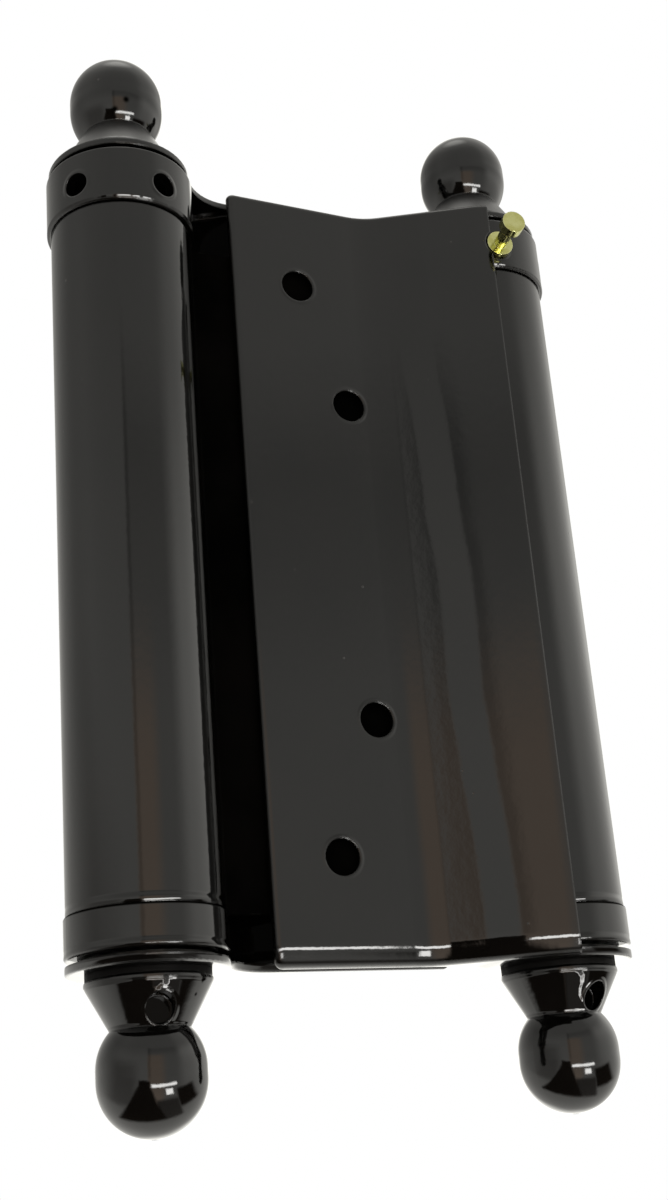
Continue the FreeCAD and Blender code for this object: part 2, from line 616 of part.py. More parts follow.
# Torsion spring: square wire carried round the shaft, with a straight leg into each collar
def make_spring(side):
    feature = doc.addObject("Part::Feature", f"{side}_spring")
    feature.Label = f"{side}_spring"
    half_wire = value("Sizes.wire / 2")
    coil_radius = value("Sizes.coil_radius")
    turns = round(value("Sizes.coil_turns"))
    low = value(f"{lower_spigot_end} + Sizes.coil_gap") + half_wire
    high = value(f"{upper_spigot_end} - Sizes.coil_gap") - half_wire
    step = 30
    corners = ((-half_wire, -half_wire), (half_wire, -half_wire), (half_wire, half_wire), (-half_wire, half_wire))
    sections = []
    for angle in range(0, 360 * turns + step, step):
        level = low + (high - low) * angle / (360 * turns)
        turn = math.radians(angle)
        outwards = FreeCAD.Vector(math.cos(turn), math.sin(turn), 0)
        upwards = FreeCAD.Vector(0, 0, 1)
        points = [outwards * (coil_radius + dr) + upwards * (level + dz) for dr, dz in corners]
        sections.append(Part.makePolygon(points + points[:1]))
    coil = Part.makeLoft(sections, True, True)
    tang = value("Sizes.tang")
    reach = value("Sizes.tang_depth + Sizes.coil_gap") + half_wire
    corner = FreeCAD.Vector(coil_radius - tang / 2, -tang / 2, 0)
    upper_leg = Part.makeBox(tang, tang, reach, corner + FreeCAD.Vector(0, 0, high))
    lower_leg = Part.makeBox(tang, tang, reach, corner + FreeCAD.Vector(0, 0, low - reach))
    feature.Shape = coil.fuse([upper_leg, lower_leg]).removeSplitter()
    set_on_axis(feature, side)
    return feature


# Tension pin: a shank in a collar hole, a flange in the leaf's notch, a neck and a head to pull it by
def make_tension_pin(side):
    name = f"{side}_tension_pin"
    body = new_body(name)
    shank = "(Sizes.bar_hole / 2 - Sizes.pin_fit)"
    flange = "Sizes.pin_flange / 2"
    neck = "Sizes.pin_neck / 2"
    head = "Sizes.pin_head / 2"
    start = f"({collar_radius} - Sizes.pin_shank_length)"
    flange_start = f"({collar_radius} + Sizes.pin_seat_gap)"
    flange_end = f"({flange_start} + Sizes.pin_flange_thickness)"
    neck_end = f"({flange_end} + Sizes.pin_neck_length)"
    tip = f"({neck_end} + Sizes.pin_head_length)"
    profile = new_sketch(body, "XZ_Plane", f"{name}_profile")
    straight_outline(profile, [
        ("0", start),
        (shank, start),
        (shank, flange_start),
        (flange, flange_start),
        (flange, flange_end),
        (neck, flange_end),
        (neck, neck_end),
        (head, neck_end),
        (head, tip),
        ("0", tip),
    ])
    turned(body, profile, f"{name}_turning")
    half_turn = 180 if side == "left" else 0
    bearing = math.radians(value(pin_turn[side]) - 90 + half_turn)
    outwards = FreeCAD.Vector(math.cos(bearing), math.sin(bearing), 0)
    set_on_axis(body, side, turn_with_side=False)
    body.setExpression("Placement.Base.z", bar_hole_level)
    body.Placement.Rotation = FreeCAD.Rotation(FreeCAD.Vector(0, 0, 1), outwards)
    return body


# Dull ring on the outside of an ear, under the finial
def make_seat_ring(side, end):
    body = new_body(f"{side}_{end}_seat_ring")
    level = "Sizes.leaf_height / 2" if end == "top" else f"-{finial_seat}"
    ring = new_sketch(body, "XY_Plane", f"{side}_{end}_seat_ring_outline", level)
    round_outline(ring, "0", "0", "Sizes.seat_ring_diameter / 2")
    round_outline(ring, "0", "0", "Sizes.stud_diameter / 2 + Sizes.washer_slack")
    pad(body, ring, f"{side}_{end}_seat_ring_disc", "Sizes.seat_ring_thickness")
    set_on_axis(body, side)
    return body


# Finial: cone and ball, screwed on a threaded end of the shaft and drilled for the tightening bar
def make_finial(side, end):
    name = f"{side}_{end}_finial"
    body = new_body(name)
    ball = value("Sizes.ball_diameter / 2")
    ball_level = value("Sizes.ball_height")
    neck = value("Sizes.finial_neck_diameter / 2")
    bore = "(Sizes.stud_diameter / 2 + Sizes.thread_slack)"
    bore_end = "(Sizes.stud_engagement + Sizes.thread_slack)"
    base = "Sizes.finial_base_diameter / 2"
    inner_level = "(Sizes.ball_height - Sizes.ball_stretch)"
    neck_drop = "sqrt(Sizes.ball_diameter ^ 2 - Sizes.finial_neck_diameter ^ 2) / 2"
    corners = [
        ("0", bore_end),
        (bore, bore_end),
        (bore, "0"),
        (base, "0"),
        (base, "Sizes.finial_rim"),
        ("Sizes.finial_neck_diameter / 2", f"{inner_level} - {neck_drop}"),
    ]
    profile = new_sketch(body, "XZ_Plane", f"{name}_profile")
    points = [FreeCAD.Vector(value(across), value(up), 0) for across, up in corners]
    for first, second in zip(points, points[1:]):
        profile.addGeometry(Part.LineSegment(first, second))
    last = len(points) - 2

    # The ball: an arc up from the neck, a short straight part and an arc to the lathe's centre mark
    up = FreeCAD.Vector(0, 0, 1)
    inner_centre = FreeCAD.Vector(0, value(inner_level), 0)
    outer_centre = FreeCAD.Vector(0, ball_level, 0)
    neck_angle = -math.acos(neck / ball)
    mark = value("Sizes.centre_mark / 2")
    mark_angle = math.acos(mark / ball)
    mark_edge = FreeCAD.Vector(mark, ball_level + ball * math.sin(mark_angle), 0)
    mark_floor = "(Sizes.ball_height + Sizes.ball_diameter / 2 - Sizes.centre_mark_depth)"
    mark_point = FreeCAD.Vector(0, value(mark_floor), 0)
    side_start = inner_centre + FreeCAD.Vector(ball, 0, 0)
    side_end = outer_centre + FreeCAD.Vector(ball, 0, 0)
    inner_arc = profile.addGeometry(Part.ArcOfCircle(Part.Circle(inner_centre, up, ball), neck_angle, 0))
    straight = profile.addGeometry(Part.LineSegment(side_start, side_end))
    outer_arc = profile.addGeometry(Part.ArcOfCircle(Part.Circle(outer_centre, up, ball), 0, mark_angle))
    cone = profile.addGeometry(Part.LineSegment(mark_edge, mark_point))
    core = profile.addGeometry(Part.LineSegment(mark_point, points[0]))
    for i in range(last):
        profile.addConstraint(Sketcher.Constraint("Coincident", i, 2, i + 1, 1))
        place_point(profile, i, 1, *corners[i])
    place_point(profile, last, 1, *corners[last])
    bind(profile, corners[-1][0], "DistanceX", last, 2)
    profile.addConstraint(Sketcher.Constraint("Coincident", last, 2, inner_arc, 1))
    profile.addConstraint(Sketcher.Constraint("Tangent", inner_arc, 2, straight, 1))
    profile.addConstraint(Sketcher.Constraint("Tangent", straight, 2, outer_arc, 1))
    profile.addConstraint(Sketcher.Constraint("Coincident", outer_arc, 2, cone, 1))
    profile.addConstraint(Sketcher.Constraint("Coincident", cone, 2, core, 1))
    profile.addConstraint(Sketcher.Constraint("Coincident", core, 2, 0, 1))
    profile.addConstraint(Sketcher.Constraint("Vertical", straight))
    place_point(profile, inner_arc, 3, "0", inner_level)
    place_point(profile, outer_arc, 3, "0", "Sizes.ball_height")
    bind(profile, "Sizes.ball_diameter / 2", "Radius", outer_arc)
    bind(profile, "Sizes.centre_mark / 2", "DistanceX", cone, 1)
    place_point(profile, core, 1, "0", mark_floor)
    blank = turned(body, profile, f"{name}_turning")
    base_radius = value(base)
    rims = edges_where(blank, lambda edge, middle: hasattr(edge.Curve, "Radius")
                       and near(edge.Curve.Radius, base_radius))
    dress(body, "Fillet", f"{name}_rims", blank, rims, "Radius", "Sizes.finial_edge")
    drill = new_sketch(body, "XZ_Plane", f"{name}_drill", "Sizes.finial_hole_floor")
    round_outline(drill, "0", "Sizes.finial_hole_height", "Sizes.bar_hole / 2")
    cut_outwards(body, drill, f"{name}_bar_hole")
    set_on_axis(body, side, turn_with_side=False)
    sign = "" if end == "top" else "-"
    body.setExpression("Placement.Base.z", f"{sign}{finial_seat}")
    upright = FreeCAD.Rotation(FreeCAD.Vector(0, 1, 0), 0 if end == "top" else 180)
    tightened = FreeCAD.Rotation(FreeCAD.Vector(0, 0, 1), value(f"Sizes.{side}_{end}_turn"))
    body.Placement.Rotation = tightened * upright
    return body


pieces = [make_centre_web(), make_leaf("front_leaf", "right"), make_leaf("rear_leaf", "left")]
for side in ("right", "left"):
    pieces.append(make_spindle(side))
    pieces.append(make_tension_collar(side))
    pieces.append(make_anchor_collar(side))
    pieces.append(make_spring(side))
    pieces.append(make_tension_pin(side))
    for end in ("top", "bottom"):
        pieces.append(make_washer(side, end))
        pieces.append(make_seat_ring(side, end))
        pieces.append(make_finial(side, end))
doc.recompute()

# Every object must have built, and every piece must be one valid solid, before anything is written
for item in doc.Objects:
    if "Invalid" in item.State or "Error" in item.State:
        raise RuntimeError(f"{item.Name} failed: {item.State}")
for piece in pieces:
    shape = piece.Shape
    if shape.isNull() or not shape.isValid() or len(shape.Solids) != 1:
        raise RuntimeError(f"{piece.Label} is not one valid solid")

os.makedirs("parts", exist_ok=True)
for piece in pieces:
    piece.Shape.exportStep(f"parts/{piece.Label}.step")
    print(f"{piece.Label}: {piece.Shape.Volume:.1f} mm3")
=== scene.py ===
import math
from types import SimpleNamespace
import bpy
import numpy as np
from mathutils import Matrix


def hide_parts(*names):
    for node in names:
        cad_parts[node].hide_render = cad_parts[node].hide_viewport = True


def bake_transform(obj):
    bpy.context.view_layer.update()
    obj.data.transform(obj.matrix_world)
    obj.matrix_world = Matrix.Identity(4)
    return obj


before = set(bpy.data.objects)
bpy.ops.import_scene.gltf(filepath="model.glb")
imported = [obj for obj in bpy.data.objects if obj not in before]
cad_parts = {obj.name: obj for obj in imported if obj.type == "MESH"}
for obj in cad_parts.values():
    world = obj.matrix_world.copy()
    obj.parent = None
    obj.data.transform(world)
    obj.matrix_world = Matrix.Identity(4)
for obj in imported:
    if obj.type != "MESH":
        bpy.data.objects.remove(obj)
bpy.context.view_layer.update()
print("stage: frame loaded")

scene = bpy.context.scene
scene.view_settings.view_transform = "Standard"


# camera fitted to the photo: turn about the upright axis, tilt and roll in radians, shift in millimetres
cameraFit = {"turn": -0.4487, "tilt": -0.3463, "roll": -0.0802, "shift": (0.845, -8.0439, 251.8897),
             "lens": 48.28, "sensor": 36, "slide": (0.00693, 0.00931), "clip": (0.005, 20)}
millimetresPerMetre = 1000


def viewAxes(fit):
    rollCos, rollSin = math.cos(fit["roll"]), math.sin(fit["roll"])
    tiltCos, tiltSin = math.cos(fit["tilt"]), math.sin(fit["tilt"])
    turnCos, turnSin = math.cos(fit["turn"]), math.sin(fit["turn"])
    rollTurn = np.array([[rollCos, -rollSin, 0], [rollSin, rollCos, 0], [0, 0, 1]])
    tiltTurn = np.array([[1, 0, 0], [0, tiltCos, -tiltSin], [0, tiltSin, tiltCos]])
    sideTurn = np.array([[turnCos, 0, turnSin], [0, 1, 0], [-turnSin, 0, turnCos]])
    base = np.array([[1, 0, 0], [0, 0, -1], [0, 1, 0]])
    return rollTurn @ tiltTurn @ sideTurn @ base  # rows: right, down, forward


viewRows = viewAxes(cameraFit)
cameraPlace = -viewRows.T @ np.array(cameraFit["shift"]) / millimetresPerMetre
cameraData = bpy.data.cameras.new("photoCamera")
cameraData.sensor_fit = "AUTO"
cameraData.sensor_width = cameraFit["sensor"]
cameraData.lens = cameraFit["lens"]
cameraData.shift_x, cameraData.shift_y = cameraFit["slide"]
cameraData.clip_start, cameraData.clip_end = cameraFit["clip"]
cameraObject = bpy.data.objects.new("photoCamera", cameraData)
scene.collection.objects.link(cameraObject)
cameraMatrix = np.eye(4)
cameraMatrix[:3, 0] = viewRows[0]
cameraMatrix[:3, 1] = -viewRows[1]
cameraMatrix[:3, 2] = -viewRows[2]
cameraMatrix[:3, 3] = cameraPlace
cameraObject.matrix_world = cameraMatrix.T.tolist()
scene.camera = cameraObject
print("stage: camera placed")


def newNode(tree, kind, settings=None, inputs=None):
    node = tree.nodes.new(kind)
    for key, value in (settings or {}).items():
        setattr(node, key, value)
    for key, value in (inputs or {}).items():
        node.inputs[key].default_value = value
    return node


def startMaterial(name):
    material = bpy.data.materials.new(name)
    material.use_nodes = True
    tree = material.node_tree
    tree.nodes.clear()
    shader = newNode(tree, "ShaderNodeBsdfPrincipled")
    output = newNode(tree, "ShaderNodeOutputMaterial")
    tree.links.new(shader.outputs["BSDF"], output.inputs["Surface"])
    return material, tree, shader


def feed(tree, socket, value):
    if isinstance(value, bpy.types.NodeSocket):
        tree.links.new(value, socket)
    else:
        socket.default_value = value


def calc(tree, operation, *values):
    node = newNode(tree, "ShaderNodeMath", {"operation": operation})
    for place, value in enumerate(values):
        feed(tree, node.inputs[place], value)
    return node.outputs[0]


def ownPlace(tree):
    place = newNode(tree, "ShaderNodeTexCoord")
    split = newNode(tree, "ShaderNodeSeparateXYZ")
    tree.links.new(place.outputs["Object"], split.inputs[0])
    x, y, z = split.outputs[0], split.outputs[1], split.outputs[2]
    return SimpleNamespace(point=place.outputs["Object"], x=x, y=y, z=z)


# the seed shifts the cloud by a different amount along each axis; nearly all of its values lie in the span
noiseLook = {"roughness": 0.55, "drift": (1, 0.7, 1.3), "span": (0.3, 0.7)}


def noise(tree, point, scale, detail, seed, stretch=(1, 1, 1)):
    place = tuple(seed * share for share in noiseLook["drift"])
    shift = newNode(tree, "ShaderNodeMapping", inputs={"Location": place, "Scale": stretch})
    cloud = newNode(tree, "ShaderNodeTexNoise",
                    inputs={"Scale": scale, "Detail": detail, "Roughness": noiseLook["roughness"]})
    tree.links.new(point, shift.inputs["Vector"])
    tree.links.new(shift.outputs["Vector"], cloud.inputs["Vector"])
    return cloud.outputs["Fac"]


def remap(tree, source, low, high, outLow, outHigh, kind="SMOOTHSTEP"):
    node = newNode(tree, "ShaderNodeMapRange", {"interpolation_type": kind},
                   {1: low, 2: high, 3: outLow, 4: outHigh})
    tree.links.new(source, node.inputs[0])
    return node.outputs[0]


# noise spread over a range of values
def cloudy(tree, point, grain, seed, outLow, outHigh, stretch=(1, 1, 1)):
    return remap(tree, noise(tree, point, *grain, seed, stretch), *noiseLook["span"], outLow, outHigh)


# sockets 6 and 7 take the colours of a colour mix, and output 2 gives it
def mixColour(tree, factor, first, second):
    node = newNode(tree, "ShaderNodeMix", {"data_type": "RGBA"})
    feed(tree, node.inputs[6], (*first, 1) if isinstance(first, tuple) else first)
    feed(tree, node.inputs[7], (*second, 1) if isinstance(second, tuple) else second)
    tree.links.new(factor, node.inputs[0])
    return node.outputs[2]


def addBump(tree, height, distance, before):
    bump = newNode(tree, "ShaderNodeBump", {"invert": distance < 0},
                   {"Strength": 1, "Distance": abs(distance)})
    tree.links.new(height, bump.inputs["Height"])
    tree.links.new(before, bump.inputs["Normal"])
    return bump.outputs["Normal"]


# rounded edges: how far the softened normal leaves the true one tells where an edge is
edgeLook = {"samples": 4, "turn": (0.82, 0.995)}


def softEdges(tree, radius):
    bevel = newNode(tree, "ShaderNodeBevel", {"samples": edgeLook["samples"]}, {"Radius": radius})
    flat = newNode(tree, "ShaderNodeNewGeometry")
    turn = newNode(tree, "ShaderNodeVectorMath", {"operation": "DOT_PRODUCT"})
    tree.links.new(bevel.outputs["Normal"], turn.inputs[0])
    tree.links.new(flat.outputs["Normal"], turn.inputs[1])
    return bevel.outputs["Normal"], remap(tree, turn.outputs["Value"], *edgeLook["turn"], 1, 0)


# one at distance zero from a spot, nought at the radius
def spotMask(tree, point, spot, radius):
    gap = newNode(tree, "ShaderNodeVectorMath", {"operation": "DISTANCE"}, {1: spot})
    tree.links.new(point, gap.inputs[0])
    return remap(tree, gap.outputs["Value"], 0, radius, 1, 0)


# the same round a line between two places, with a flat core that takes this share of the radius
# the nearest point is the first place plus a clamped share of the way
runCore = 0.55


def runMask(tree, point, first, second, radius):
    way = np.array(second) - np.array(first)
    perLength = (way / (way @ way)).tolist()
    offset = newNode(tree, "ShaderNodeVectorMath", {"operation": "SUBTRACT"}, {1: first})
    share = newNode(tree, "ShaderNodeVectorMath", {"operation": "DOT_PRODUCT"}, {1: perLength})
    held = newNode(tree, "ShaderNodeClamp")
    along = newNode(tree, "ShaderNodeVectorMath", {"operation": "SCALE"}, {0: way.tolist()})
    gap = newNode(tree, "ShaderNodeVectorMath", {"operation": "DISTANCE"})
    tree.links.new(point, offset.inputs[0])
    tree.links.new(offset.outputs[0], share.inputs[0])
    tree.links.new(share.outputs["Value"], held.inputs[0])
    tree.links.new(held.outputs[0], along.inputs["Scale"])
    tree.links.new(offset.outputs[0], gap.inputs[0])
    tree.links.new(along.outputs[0], gap.inputs[1])
    return remap(tree, gap.outputs["Value"], radius * runCore, radius, 1, 0)


# distance from a middle, measured across and up
def flatGap(tree, across, up):
    squares = calc(tree, "ADD", calc(tree, "MULTIPLY", across, across), calc(tree, "MULTIPLY", up, up))
    return calc(tree, "SQRT", squares)


# bead of paint: one where a distance equals the level, fading to nought over a width
def beadMask(tree, distance, level, width):
    return remap(tree, calc(tree, "ABSOLUTE", calc(tree, "SUBTRACT", distance, level)), 0, width, 1, 0)


# paint is thick along a rim at this height, so the rim catches the light as a line
def fatRim(tree, z, level, width, lift, normal):
    return addBump(tree, beadMask(tree, z, level, width), lift, normal)


# thick paint leans: the normal tips up (or down, for a minus lean) where the mask is one
def leanNormal(tree, normal, mask, lean):
    tip = newNode(tree, "ShaderNodeCombineXYZ")
    total = newNode(tree, "ShaderNodeVectorMath", {"operation": "ADD"})
    unit = newNode(tree, "ShaderNodeVectorMath", {"operation": "NORMALIZE"})
    tree.links.new(calc(tree, "MULTIPLY", mask, lean), tip.inputs[2])
    tree.links.new(normal, total.inputs[0])
    tree.links.new(tip.outputs[0], total.inputs[1])
    tree.links.new(total.outputs[0], unit.inputs[0])
    return unit.outputs[0]


# one between two levels, with soft ends
bandSoft = 0.0001


def bandMask(tree, value, low, high):
    upper = remap(tree, value, high - bandSoft, high + bandSoft, 1, 0)
    return calc(tree, "MULTIPLY", remap(tree, value, low - bandSoft, low + bandSoft, 0, 1), upper)


# shine of the paint, and painted shade: no shine where the mask is one, inside holes, in gaps and on faces
# turned to other parts
paintShine = 0.5


def paintedShadeDull(tree, shader, shadeMask):
    tree.links.new(remap(tree, shadeMask, 0, 1, paintShine, 0), shader.inputs["Specular IOR Level"])


# black enamel: warm near-black, orange peel, long waves, dust pips, thin and a little worn on the edges
# a grain is the scale and detail of a noise, and every noise of a piece has a seed of its own
# peel, wave and edge differ by piece: height of the orange peel, height of the waves, radius of the edges
paintLook = {"tintGrain": (60, 4), "dark": (0.0008, 0.0008, 0.0007), "light": (0.0022, 0.0019, 0.0016),
             "rubGrain": (420, 5), "rubSpan": (0.55, 0.7), "rubMost": 0.6, "rubRough": 0.2,
             "rubColour": (0.035, 0.031, 0.027),
             "pipScale": 170, "pipSize": (0.015, 0.05), "pipChosen": (0.62, 0.7), "pipShow": 0.25,
             "pipColour": (0.12, 0.11, 0.1), "pipLift": 0.00004,
             "glossGrain": (130, 5), "gloss": (0.035, 0.075), "ior": 1.5,
             "waveGrain": (95, 2), "waveStretch": (1, 1, 0.3), "peelGrain": (700, 2)}


def blackPaint(node, seed, look):
    paint = paintLook
    material, tree, shader = startMaterial(node.name + "Paint")
    place = ownPlace(tree)
    edgeNormal, edgeMask = softEdges(tree, look["edge"])
    tint = cloudy(tree, place.point, paint["tintGrain"], seed, 0, 1)
    colour = mixColour(tree, tint, paint["dark"], paint["light"])
    worn = noise(tree, place.point, *paint["rubGrain"], seed + 1)
    rubbed = calc(tree, "MULTIPLY", edgeMask, remap(tree, worn, *paint["rubSpan"], 0, paint["rubMost"]))
    colour = mixColour(tree, rubbed, colour, paint["rubColour"])
    cells = newNode(tree, "ShaderNodeTexVoronoi", inputs={"Scale": paint["pipScale"]})
    tree.links.new(place.point, cells.inputs["Vector"])
    pips = remap(tree, cells.outputs["Distance"], *paint["pipSize"], 1, 0)
    chosen = newNode(tree, "ShaderNodeSeparateColor")
    tree.links.new(cells.outputs["Color"], chosen.inputs[0])
    pips = calc(tree, "MULTIPLY", pips, remap(tree, chosen.outputs[0], *paint["pipChosen"], 0, 1))
    colour = mixColour(tree, calc(tree, "MULTIPLY", pips, paint["pipShow"]), colour, paint["pipColour"])
    tree.links.new(colour, shader.inputs["Base Color"])
    cloud = cloudy(tree, place.point, paint["glossGrain"], seed + 3, *paint["gloss"])
    rough = calc(tree, "ADD", cloud, calc(tree, "MULTIPLY", rubbed, paint["rubRough"]))
    tree.links.new(rough, shader.inputs["Roughness"])
    waves = noise(tree, place.point, *paint["waveGrain"], seed + 5, paint["waveStretch"])
    normal = addBump(tree, waves, look["wave"], edgeNormal)
    normal = addBump(tree, noise(tree, place.point, *paint["peelGrain"], seed + 7), look["peel"], normal)
    normal = addBump(tree, pips, paint["pipLift"], normal)
    shader.inputs["IOR"].default_value = paint["ior"]
    return material, tree, shader, normal, place


def finishPaint(node, material, tree, shader, normal):
    tree.links.new(normal, shader.inputs["Normal"])
    node.data.materials.clear()
    node.data.materials.append(material)


# leaf: x runs from the far edge (minus) to the wrap (plus), turned round for the rear one
# the sheet swells a little along the bend, rolls over at its lower edge and has a bead round each hole
leafLook = {"peel": 0.000012, "wave": 0.00003, "edge": 0.0005,
            "swayGrain": (24, 2), "swayStretch": (0.02, 0.02, 1), "sway": 0.0006, "slant": 0.03,
            "hump": (0.0150, 0.0203, 0.0305), "humpLift": 0.00034,
            "lineGrain": (330, 2), "lineStretch": (1, 1, 0.04), "lineLift": 0.000012,
            "holes": ((-0.00305, 0.0475), (0.00445, 0.0265)), "holeEdge": (0.0026, 0.0028),
            "beadRadius": 0.0029, "beadWidth": 0.0006, "beadLift": 0.00007,
            "innerFacing": (0.1, 0.4), "innerShade": 0.9, "ears": (0.0612, 0.0617),
            "roll": (0.0592, 0.0633), "rollLift": 0.0012, "earRim": (-0.0629, -0.0624), "earLean": -0.22}
leafPlans = {"front_leaf": {"side": 1, "seed": 2.1}, "rear_leaf": {"side": -1, "seed": 5.3}}


def leafPaint(node, side, seed):
    look = leafLook
    material, tree, shader, normal, place = blackPaint(node, seed, look)
    along = calc(tree, "MULTIPLY", place.x, side)
    sway = cloudy(tree, place.point, look["swayGrain"], seed + 9, -look["sway"], look["sway"],
                  look["swayStretch"])
    slant = calc(tree, "MULTIPLY", place.z, look["slant"])
    bent = calc(tree, "ADD", along, calc(tree, "ADD", sway, slant))
    start, top, end = look["hump"]
    hump = calc(tree, "MULTIPLY", remap(tree, bent, start, top, 0, 1), remap(tree, bent, top, end, 1, 0))
    normal = addBump(tree, hump, look["humpLift"], normal)
    lines = noise(tree, place.point, *look["lineGrain"], seed + 11, look["lineStretch"])
    normal = addBump(tree, lines, look["lineLift"], normal)
    high = calc(tree, "ABSOLUTE", place.z)
    # painted shade: no shine inside the screw holes
    shadeMask = 0
    for holeX, holeZ in look["holes"]:
        away = flatGap(tree, calc(tree, "SUBTRACT", along, holeX), calc(tree, "SUBTRACT", high, holeZ))
        bead = beadMask(tree, away, look["beadRadius"], look["beadWidth"])
        normal = addBump(tree, bead, look["beadLift"], normal)
        shadeMask = calc(tree, "ADD", shadeMask, remap(tree, away, *look["holeEdge"], 1, 0))
    # painted shade: no shine on the face turned to the web, except on the ears
    facing = newNode(tree, "ShaderNodeTexCoord")
    split = newNode(tree, "ShaderNodeSeparateXYZ")
    tree.links.new(facing.outputs["Normal"], split.inputs[0])
    inward = calc(tree, "MULTIPLY", split.outputs[1], side)
    inner = remap(tree, inward, *look["innerFacing"], 0, look["innerShade"])
    inner = calc(tree, "MULTIPLY", inner, remap(tree, high, *look["ears"], 1, 0))
    paintedShadeDull(tree, shader, calc(tree, "MAXIMUM", shadeMask, inner))
    past = remap(tree, calc(tree, "MULTIPLY", place.z, -1), *look["roll"], 0, 1, "LINEAR")
    normal = addBump(tree, calc(tree, "MULTIPLY", past, past), -look["rollLift"], normal)
    if side < 0:
        normal = leanNormal(tree, normal, bandMask(tree, place.z, *look["earRim"]), look["earLean"])
    finishPaint(node, material, tree, shader, normal)


for name, plan in leafPlans.items():
    leafPaint(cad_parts[name], **plan)
print("stage: leaves painted")


# web: gloss on the barrels, the strip between them without shine, painted shade where the leaves cover it
webLook = {"peel": 0.000012, "wave": 0.00005, "edge": 0.0003, "seed": 8.2,
           "strip": (0.0205, 0.0235), "dullGrain": (160, 4), "dull": (0.5, 0.62),
           "lineGrain": (300, 2), "lineStretch": (1, 1, 0.03), "lineLift": 0.00001,
           "lowerRim": -0.0549, "rimWidth": 0.0009, "rimLift": 0.00016}


def webPaint(node, seed):
    look = webLook
    material, tree, shader, normal, place = blackPaint(node, seed, look)
    # painted shade: no shine on the strip between the barrels
    outward = remap(tree, calc(tree, "ABSOLUTE", place.x), *look["strip"], 0, 1)
    tree.links.new(remap(tree, outward, 0, 1, 0, paintShine), shader.inputs["Specular IOR Level"])
    soft = cloudy(tree, place.point, look["dullGrain"], seed + 2, *look["dull"])
    smooth = cloudy(tree, place.point, paintLook["glossGrain"], seed + 3, *paintLook["gloss"])
    blend = newNode(tree, "ShaderNodeMix")
    tree.links.new(outward, blend.inputs[0])
    tree.links.new(soft, blend.inputs[2])
    tree.links.new(smooth, blend.inputs[3])
    tree.links.new(blend.outputs[0], shader.inputs["Roughness"])
    lines = noise(tree, place.point, *look["lineGrain"], seed + 11, look["lineStretch"])
    normal = addBump(tree, lines, look["lineLift"], normal)
    normal = fatRim(tree, place.z, look["lowerRim"], look["rimWidth"], look["rimLift"], normal)
    finishPaint(node, material, tree, shader, normal)


webPaint(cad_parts["centre_web"], webLook["seed"])
print("stage: web painted")


# finials: thick glossy paint, a bead round the tightening hole, pooled paint and pits as in the photo
# side and end are plus or minus one for right and top, the bearing of the hole is in degrees from +x
barrelAxis = 0.03245
finialLook = {"peel": 0.000012, "wave": 0.00003, "edge": 0.0003,
              "holeLevel": 0.0686, "holeEdge": (0.0019, 0.00205), "holeShade": 0.75, "facing": 0.002,
              "beadRadius": 0.0022, "beadWidth": 0.0005, "beadLift": 0.00009,
              "rim": (0.0650, 0.0653), "neck": (0.0703, 0.0706), "lean": 0.352,
              "upperCone": (0.0653, 0.0706), "conePaintedSheen": 0.5, "coneRough": 0.3}
finialPlans = {"left_top_finial": {"side": -1, "end": 1, "bearing": 90, "seed": 1.9},
               "right_top_finial": {"side": 1, "end": 1, "bearing": 90, "seed": 3.1},
               "left_bottom_finial": {"side": -1, "end": -1, "bearing": -96, "seed": 4.7},
               "right_bottom_finial": {"side": 1, "end": -1, "bearing": -75, "seed": 6.6}}
# runs of pooled paint from place to place with a radius, and pits that stay black
finialRuns = {"left_bottom_finial": [((-0.0330, -0.00871, -0.0651), (-0.0329, -0.00839, -0.0656), 0.0006),
                                     ((-0.0335, -0.0082, -0.0659), (-0.0339, -0.00791, -0.0663), 0.0003),
                                     ((-0.0339, -0.00791, -0.0663), (-0.0334, -0.00772, -0.0667), 0.0003),
                                     ((-0.0334, -0.00772, -0.0667), (-0.0319, -0.00767, -0.0666), 0.00034)],
              "right_bottom_finial": [((0.0290, -0.00855, -0.0652), (0.0308, -0.0084, -0.0653), 0.00035),
                                      ((0.0308, -0.00834, -0.0654), (0.03129, -0.00809, -0.0659), 0.0005),
                                      ((0.03129, -0.00809, -0.0659), (0.03137, -0.00769, -0.0666), 0.00045),
                                      ((0.03137, -0.00769, -0.0666), (0.03123, -0.00709, -0.0676), 0.0003),
                                      ((0.03123, -0.00709, -0.0676), (0.03134, -0.00661, -0.0684), 0.00028),
                                      ((0.03134, -0.00661, -0.0684), (0.03189, -0.00618, -0.0692), 0.00028)]}
finialPits = {"left_bottom_finial": [((-0.0272, -0.0068, -0.0653), 0.0006),
                                     ((-0.0281, -0.0063, -0.0670), 0.0005)],
              "left_top_finial": [((-0.0347, -0.0061, 0.0720), 0.0009),
                                  ((-0.0331, -0.0071, 0.0735), 0.0009)]}


# upper cones: painted reflection, a stronger shine that makes them paler, and rougher, where the mask is one
def paintedSheenCone(tree, shader, mask, shine, rough):
    level = shader.inputs["Specular IOR Level"]
    paler = calc(tree, "ADD", level.links[0].from_socket, calc(tree, "MULTIPLY", mask, shine))
    tree.links.new(paler, level)
    dullness = shader.inputs["Roughness"]
    duller = calc(tree, "MAXIMUM", dullness.links[0].from_socket, calc(tree, "MULTIPLY", mask, rough))
    tree.links.new(duller, dullness)


